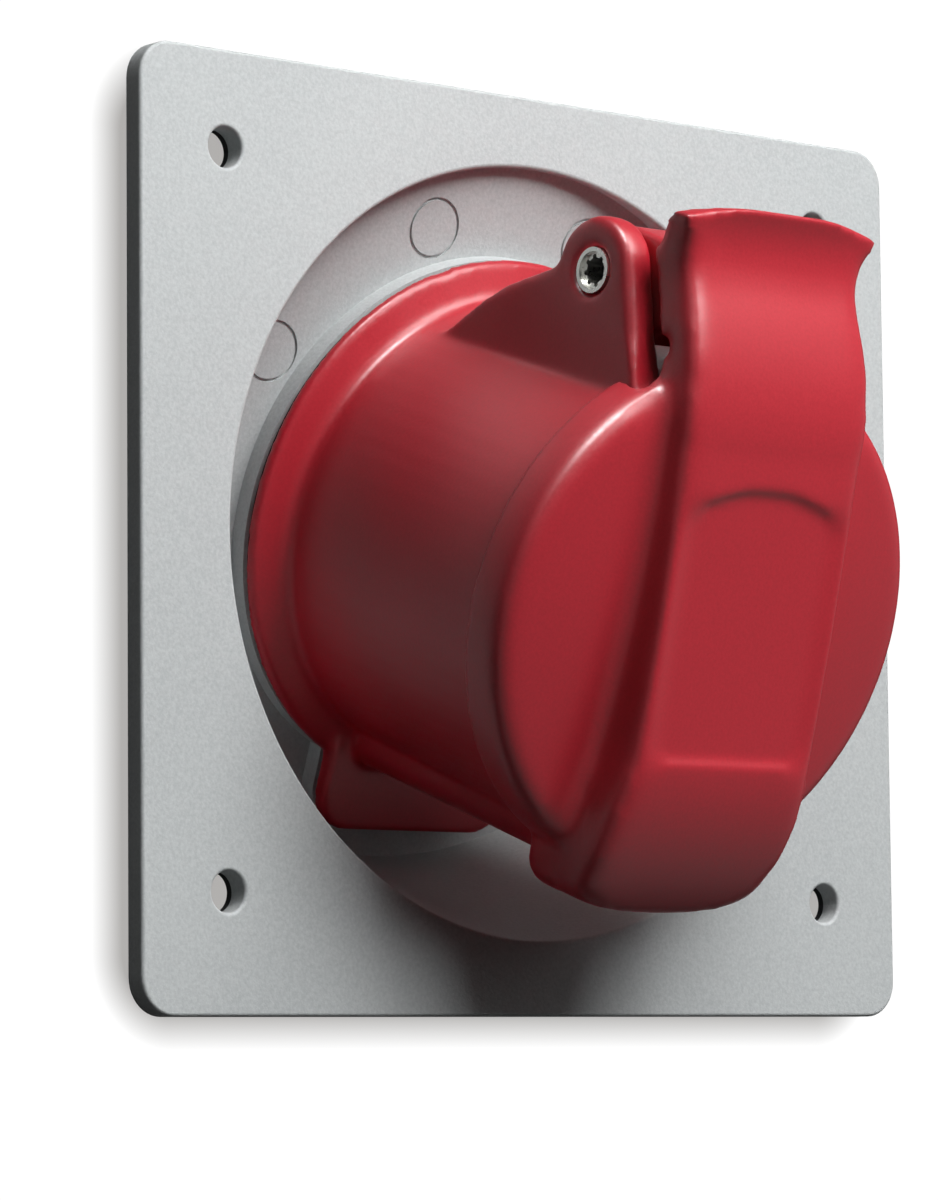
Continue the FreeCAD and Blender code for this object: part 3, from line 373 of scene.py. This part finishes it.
def moulding(node, body, net, rounds, keep, name, softer):
    """A soft-edged copy of a CAD node that is shown in its place."""
    only(NODES[node])
    bpy.ops.object.duplicate()
    piece = bpy.context.object
    piece.name = name
    piece.parent = None
    bpy.ops.object.mode_set(mode="EDIT")
    bpy.ops.mesh.select_mode(type="VERT")
    bpy.ops.mesh.select_all(action="SELECT")
    bpy.ops.mesh.remove_doubles(threshold=MERGE)
    bpy.ops.object.mode_set(mode="OBJECT")
    even = piece.modifiers.new("even_net", "REMESH")
    even.mode = "VOXEL"
    even.voxel_size = net
    soft = piece.modifiers.new("soft_edges", "SMOOTH")
    soft.factor = PULL
    soft.iterations = rounds
    for step in ("even_net", "soft_edges"):
        bpy.ops.object.modifier_apply(modifier=step)
    for depth, more_rounds in softer:
        ease(piece, depth, more_rounds)
    thin = piece.modifiers.new("fewer_faces", "DECIMATE")
    thin.ratio = keep
    bpy.ops.object.modifier_apply(modifier="fewer_faces")
    bpy.ops.object.shade_smooth()
    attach(piece, body)
    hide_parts(node)
    print(name, "has", len(piece.data.polygons), "faces")
    return piece


# %% [markdown]
# Some edges of the real mouldings are much rounder than the rest: the lid's rim, the long edges
# of its band, the end of its chin, and the ears. Smoothing the whole lid that far would eat
# through its thin rim, so these places get more rounds by themselves. A vertex group tells the
# Smooth modifier where, and how much.
#
# The places are easiest to say along the barrel, which is tilted, so each point is first turned
# into across, up and out.

# %% More smoothing in some places
TILT = math.radians(20)
# The plate's face lies this far in front of the origin, and the recess's middle below it
FRONT, DROP = 3.2, 1.2
FULL_DEPTH = 2
STEPS = 8


def along_axis(point):
    """Across, up and out from the plate along the tilted barrel, in millimetres."""
    y, z = point.y / MM + FRONT, point.z / MM + DROP
    return (point.x / MM, z * math.cos(TILT) - y * math.sin(TILT),
            -y * math.cos(TILT) - z * math.sin(TILT))


def ease(piece, depth, rounds):
    """Smooth where depth(across, up, out) is over 0, and in full from FULL_DEPTH on."""
    group = piece.vertex_groups.new(name="softer")
    levels = {}
    for corner in piece.data.vertices:
        level = min(round(depth(*along_axis(corner.co)) * STEPS / FULL_DEPTH), STEPS)
        if level > 0:
            levels.setdefault(level, []).append(corner.index)
    for level, corners in levels.items():
        group.add(corners, level / STEPS, "REPLACE")
    softer = piece.modifiers.new("softer", "SMOOTH")
    softer.factor = PULL
    softer.iterations = rounds
    softer.vertex_group = group.name
    bpy.ops.object.modifier_apply(modifier="softer")
    piece.vertex_groups.clear()


# %% [markdown]
# Each place is a function that says how deep a point lies in it, in millimetres. It takes the
# least of the distances to the place's borders, so the smoothing fades out towards every one.

# %% Soft places on the lid
LID_SIDE, LID_FACE = 27.45, 27.65       # just inside the lid's outer surfaces
RIM_IN, RIM_BACK = 19, 24
BESIDE_BAND = 13.2
CHIN_UP, CHIN_BACK = -24, 21
BAND_IN, BAND_OUT, BAND_TOP = 8.2, 17.5, 40.5
FACE_MIDDLE, FACE_HALF, BAND_SLOPE = -1, 25, 0.5


def on_cap_rim(across, up, out):
    """The outer rim of the cap, apart from the band and the chin that cross it."""
    away = math.hypot(across, up)
    on_side = away > LID_SIDE and out > RIM_BACK + 0.5
    on_face = away > RIM_IN + 1 and out > LID_FACE
    if not (on_side or on_face):
        return 0
    return min(abs(across) - BESIDE_BAND, away - RIM_IN, out - RIM_BACK)


def on_chin_end(across, up, out):
    """The free end of the chin."""
    return min(CHIN_UP - up, out - CHIN_BACK)


def on_band_edge(across, up, out):
    """The long edges of the band, from the chin over the cap to the tab."""
    past_face = max(abs(up - FACE_MIDDLE) - FACE_HALF, 0)
    if out < LID_FACE - BAND_SLOPE * past_face:
        return 0
    return min(abs(across) - BAND_IN, BAND_OUT - abs(across), BAND_TOP - up)


# %% Soft places on the shell
EAR_IN, EAR_OUT, EAR_FOOT = 9.9, 14.8, 26.5
PIN_UP, PIN_OUT, PIN_SEAT = 33.3, 14.2, 3.3


def on_ear_edge(across, up, out):
    """The edges of the two ears, but not the seats of the pin."""
    if not EAR_IN < abs(across) < EAR_OUT:
        return 0
    return min(up - EAR_FOOT, math.hypot(up - PIN_UP, out - PIN_OUT) - PIN_SEAT)


# %% Lid and shell
lid = moulding("lid", "lid", net=0.32 * MM, rounds=24, keep=0.8, name="lid_moulding",
               softer=[(on_cap_rim, 110), (on_chin_end, 60), (on_band_edge, 130)])
shell = moulding("shell", "socket", net=0.36 * MM, rounds=12, keep=0.45,
                 name="shell_moulding", softer=[(on_ear_edge, 50)])

# %% [markdown]
# ## Plastic and rubber
# The grey moulding has a fine spark-eroded grain, the red one a satin skin, and the rubbers are
# dull. A photograph of a plate would repeat its grain and carry its light. A fine noise through
# colour, roughness and relief gives a grain that never repeats, and a broad one keeps large
# faces from looking painted.

# %% Plastic and rubber
NOISE_LOW, NOISE_HIGH = 0.3, 0.7        # nearly all of a noise pattern lies between them
CLOUDS = 35
FINE_SHARE, BROAD_SHARE = 0.75, 0.25
GRAIN_STRENGTH = 0.5


def linear(red, green, blue):
    """A screen colour of 0 to 255 as the light that Blender mixes, by the sRGB curve."""
    def one(level):
        level /= 255
        return level / 12.92 if level < 0.04045 else ((level + 0.055) / 1.055) ** 2.4
    return one(red), one(green), one(blue)


def grained(name, dark, pale, roughness, grain=2600, depth=0.06 * MM, gloss=0.4):
    """Moulded plastic or rubber with a fine even grain."""
    finish = Finish(name)
    speck = finish.noise(grain, detail=3, rough=0.6)
    cloud = finish.noise(CLOUDS, detail=2)
    tone = (finish.spread(speck, NOISE_LOW, NOISE_HIGH) * FINE_SHARE
            + finish.spread(cloud, NOISE_LOW, NOISE_HIGH) * BROAD_SHARE)
    return finish.surface(
        base_color=finish.blend(tone, dark, pale),
        roughness=finish.spread(speck, NOISE_LOW, NOISE_HIGH,
                                roughness - 0.05, roughness + 0.07),
        normal=finish.bump(speck, depth, GRAIN_STRENGTH),
        specular_ior_level=gloss)


FINISHES = {
    "grey_shell": grained("grey_moulding", linear(172, 176, 177), linear(192, 196, 196),
                          roughness=0.5, gloss=0.2),
    "red_plastic": grained("red_moulding", linear(168, 20, 36), linear(184, 28, 44),
                           roughness=0.36, grain=3000, depth=0.02 * MM, gloss=0.5),
    "gasket_rubber": grained("black_gasket", linear(26, 26, 27), linear(42, 42, 43),
                             roughness=0.75),
    "seal_rubber": grained("black_seal", linear(30, 30, 31), linear(48, 48, 49),
                           roughness=0.7),
    "lid_rubber": grained("grey_gasket", linear(96, 97, 98), linear(118, 119, 120),
                          roughness=0.7),
    "nut_plastic": grained("nut_moulding", linear(70, 72, 74), linear(92, 94, 96),
                           roughness=0.45),
    "insert_plastic": grained("insert_moulding", linear(34, 34, 36), linear(50, 50, 52),
                              roughness=0.42),
}
print("plastics and rubbers:", len(FINISHES))

# %% [markdown]
# ## Metal
# The pin, the spring and the screws are steel, and the contacts are plated brass. Metal has no
# colour but that of its reflections, so its tone goes into a fully metallic base colour, and
# faint scratches in roughness and relief break the reflections up.

# %% Metal
SCRATCHES = 900
SCRATCH_DEPTH, SCRATCH_STRENGTH = 0.02 * MM, 0.3
SCRATCH_TONE = 0.8


def metal(name, colour, roughness):
    """Drawn or turned metal with faint scratches."""
    finish = Finish(name)
    mark = finish.noise(SCRATCHES, detail=4, rough=0.7)
    scratched = tuple(SCRATCH_TONE * level for level in colour)
    return finish.surface(
        base_color=finish.blend(mark, scratched, colour),
        metallic=1.0,
        roughness=finish.spread(mark, NOISE_LOW, NOISE_HIGH,
                                roughness - 0.07, roughness + 0.1),
        normal=finish.bump(mark, SCRATCH_DEPTH, SCRATCH_STRENGTH))


FINISHES["pin_steel"] = metal("pin_steel", linear(205, 205, 200), roughness=0.28)
FINISHES["spring_steel"] = metal("spring_wire", linear(170, 170, 168), roughness=0.32)
FINISHES["contact_brass"] = metal("plated_brass", linear(214, 200, 160), roughness=0.26)
FINISHES["clip_steel"] = metal("clip_steel", linear(150, 150, 152), roughness=0.3)
FINISHES["screw_steel"] = metal("zinc_plating", linear(188, 190, 192), roughness=0.3)
print("finishes:", len(FINISHES))

# %% [markdown]
# ## Dressing the pieces
# The record names a material slot for every piece, so the finishes are laid on by slot. The two
# new mouldings take the slots of the nodes that they stand for.

# %% Dress every piece
dressed = [(NODES[node], slot) for node, slot in SLOTS.items()]
dressed += [(lid, SLOTS["lid"]), (shell, SLOTS["shell"])]
for piece, slot in dressed:
    piece.data.materials.clear()
    piece.data.materials.append(FINISHES[slot])
print("pieces dressed:", len(dressed))
